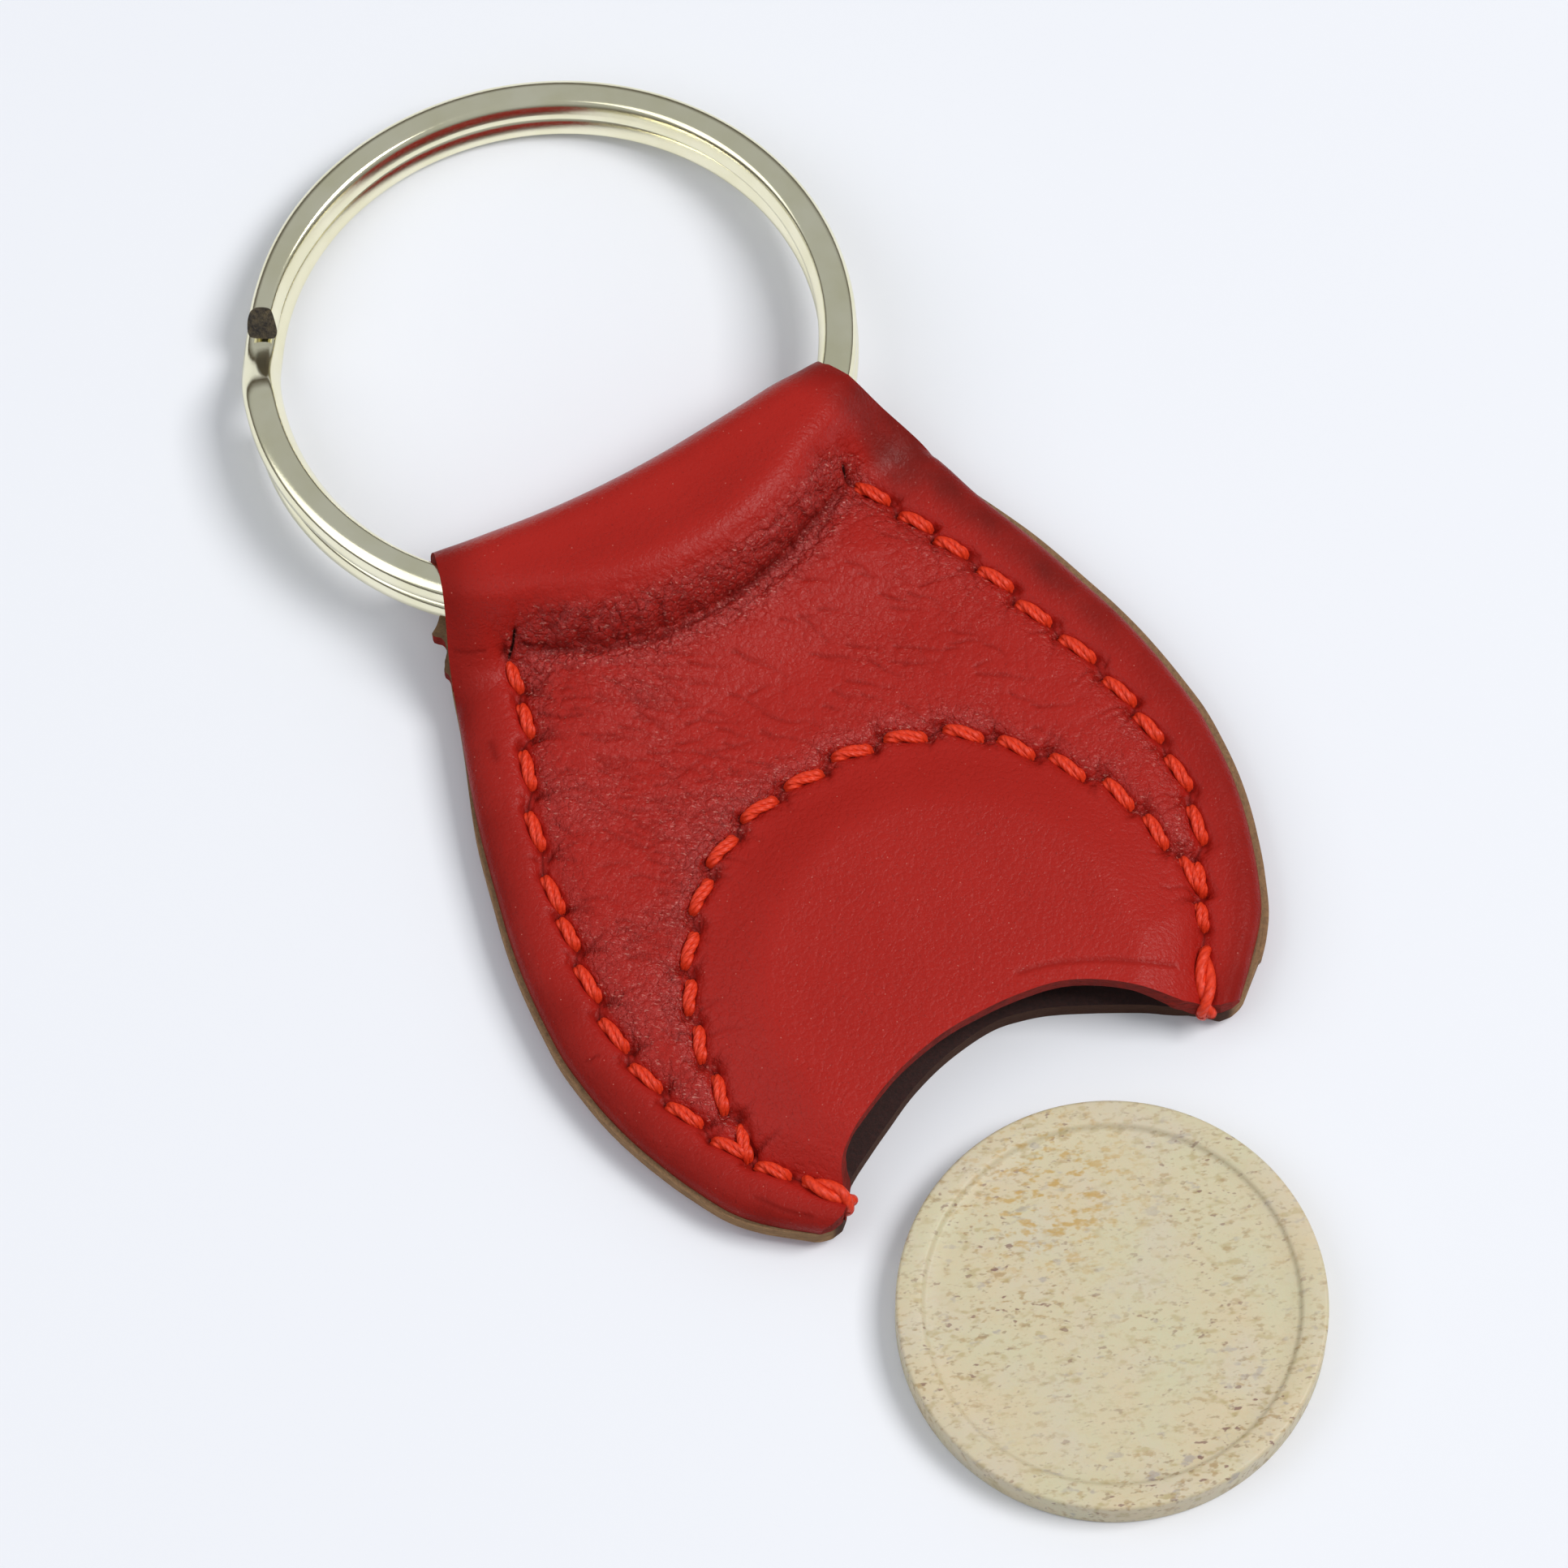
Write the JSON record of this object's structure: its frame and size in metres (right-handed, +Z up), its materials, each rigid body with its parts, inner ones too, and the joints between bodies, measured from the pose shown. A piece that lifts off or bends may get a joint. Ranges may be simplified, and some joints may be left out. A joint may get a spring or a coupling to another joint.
{
  "type": "leather keyring",
  "caption": "Sewn leather keyring with a notched, domed token pocket, a folded loop round a split ring, and a loose round token in front of the mouth.",
  "frame": {"origin": "middle of the pocket's round seam, on the flat underside that the keyring rests on", "axes": "+X from the ring to the pocket's mouth and the token, +Z up out of the surface it rests on"},
  "size_m": [0.0922, 0.0416, 0.0088],
  "materials": {
    "front_leather": "semi-matte grained red leather",
    "back_leather": "red leather with a tan cut edge and a dark suede inner face",
    "nickel": "bright nickel plate with fine handling scratches",
    "token_plastic": "satin cream fibre-filled plastic with small brown and grey flecks",
    "thread": "waxed two-ply orange-red thread"
  },
  "bodies": {
    "pouch": {"back_panel": "back_leather", "front_panel": "front_leather", "left_seam_top": "thread", "left_seam_under": "thread", "right_seam_top": "thread", "right_seam_under": "thread", "pocket_seam_top": "thread", "pocket_seam_under": "thread"},
    "loop": {"ring_loop": "front_leather"},
    "ring": {"split_ring": "nickel"},
    "coin": {"token": "token_plastic"}
  },
  "joints": [
    {"name": "loop_flex", "type": "hinge", "parent": "pouch", "child": "loop", "pos_m": [-0.02465, 0, 0.0035], "axis": [0, 1, 0], "range_deg": [0, 35]},
    {"name": "ring_turn", "type": "hinge", "parent": "loop", "child": "ring", "pos_m": [-0.04335, 0, 0.00225], "axis": [-0.1305, 0, 0.9914], "continuous": true},
    {"name": "token_slide", "type": "slide", "parent": "pouch", "child": "coin", "axis": [1, 0, 0], "range_m": [-0.0035, 0.03]}
  ]
}
